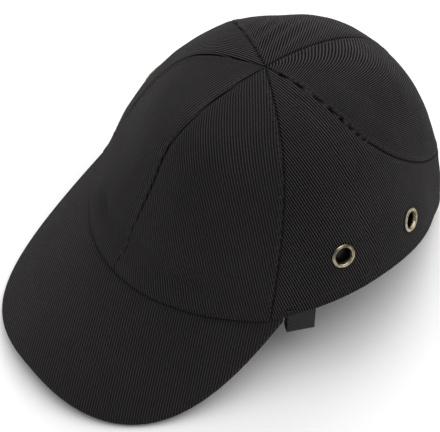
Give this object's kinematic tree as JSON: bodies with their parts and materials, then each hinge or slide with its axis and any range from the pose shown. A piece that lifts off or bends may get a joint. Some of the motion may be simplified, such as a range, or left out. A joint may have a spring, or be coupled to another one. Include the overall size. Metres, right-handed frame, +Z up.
{
  "type": "bump cap",
  "caption": "Baseball-style bump cap: twill six-panel cover with a curved peak, brass vent eyelets, rear size straps, and a slide-in ABS shell with foam pads.",
  "frame": {"origin": "middle of the head opening, in the plane that the peak's edge and the back of the rim rest on", "axes": "+Z up, the peak points towards -Y, the wearer's left is +X"},
  "size_m": [0.1768, 0.2633, 0.1361],
  "materials": {
    "black_twill": "cotton twill",
    "seam_tape": "cotton tape",
    "antique_brass": "antique, polished crown",
    "peak_plastic": "matte",
    "loop_tape": "loop pile",
    "black_twill_strap": "woven strap with hook tape",
    "grosgrain": "grosgrain ribbon",
    "abs": "satin moulded ABS",
    "eva_foam": "closed-cell foam",
    "brow_cloth": "brushed sweat cloth"
  },
  "bodies": {
    "cover": {"front_panel_left": "black_twill", "front_panel_right": "black_twill", "side_panel_left": "black_twill", "side_panel_right": "black_twill", "back_panel_left": "black_twill", "back_panel_right": "black_twill", "peak_cover_top": "black_twill", "peak_cover_bottom": "black_twill", "seam_tape_front": "seam_tape", "seam_tape_back": "seam_tape", "seam_tape_side_left": "seam_tape", "seam_tape_side_right": "seam_tape", "seam_tape_rear_left": "seam_tape", "seam_tape_rear_right": "seam_tape", "rim_facing": "seam_tape", "arch_binding": "seam_tape", "vent_eyelets": "antique_brass", "eyelet_washers": "antique_brass", "peak_board": "peak_plastic", "loop_strap": "loop_tape"},
    "bump_insert": {"abs_shell": "abs", "crown_pad": "eva_foam", "front_pad": "eva_foam", "rear_pad": "eva_foam", "side_pad_left": "eva_foam", "side_pad_right": "eva_foam", "brow_pad": "brow_cloth"},
    "closure_strap": {"hook_strap": "black_twill_strap"},
    "left_ribbon": {"ribbon_loop_left": "grosgrain"},
    "right_ribbon": {"ribbon_loop_right": "grosgrain"}
  },
  "joints": [
    {"name": "insert_slide", "type": "slide", "parent": "cover", "child": "bump_insert", "axis": [0, 0, -1], "range_m": [0, 0.15]},
    {"name": "strap_peel", "type": "hinge", "parent": "cover", "child": "closure_strap", "pos_m": [-0.0258, 0.09945, 0.0083], "axis": [0, 0, 1], "range_deg": [0, 110]},
    {"name": "left_ribbon_swing", "type": "hinge", "parent": "cover", "child": "left_ribbon", "pos_m": [0.0778, -0.04084, 0.04147], "axis": [-0.4281, -0.8759, -0.2224], "range_deg": [-45, 70]},
    {"name": "right_ribbon_swing", "type": "hinge", "parent": "cover", "child": "right_ribbon", "pos_m": [-0.0778, -0.04084, 0.04147], "axis": [-0.4281, 0.8759, 0.2224], "range_deg": [-45, 70]}
  ]
}
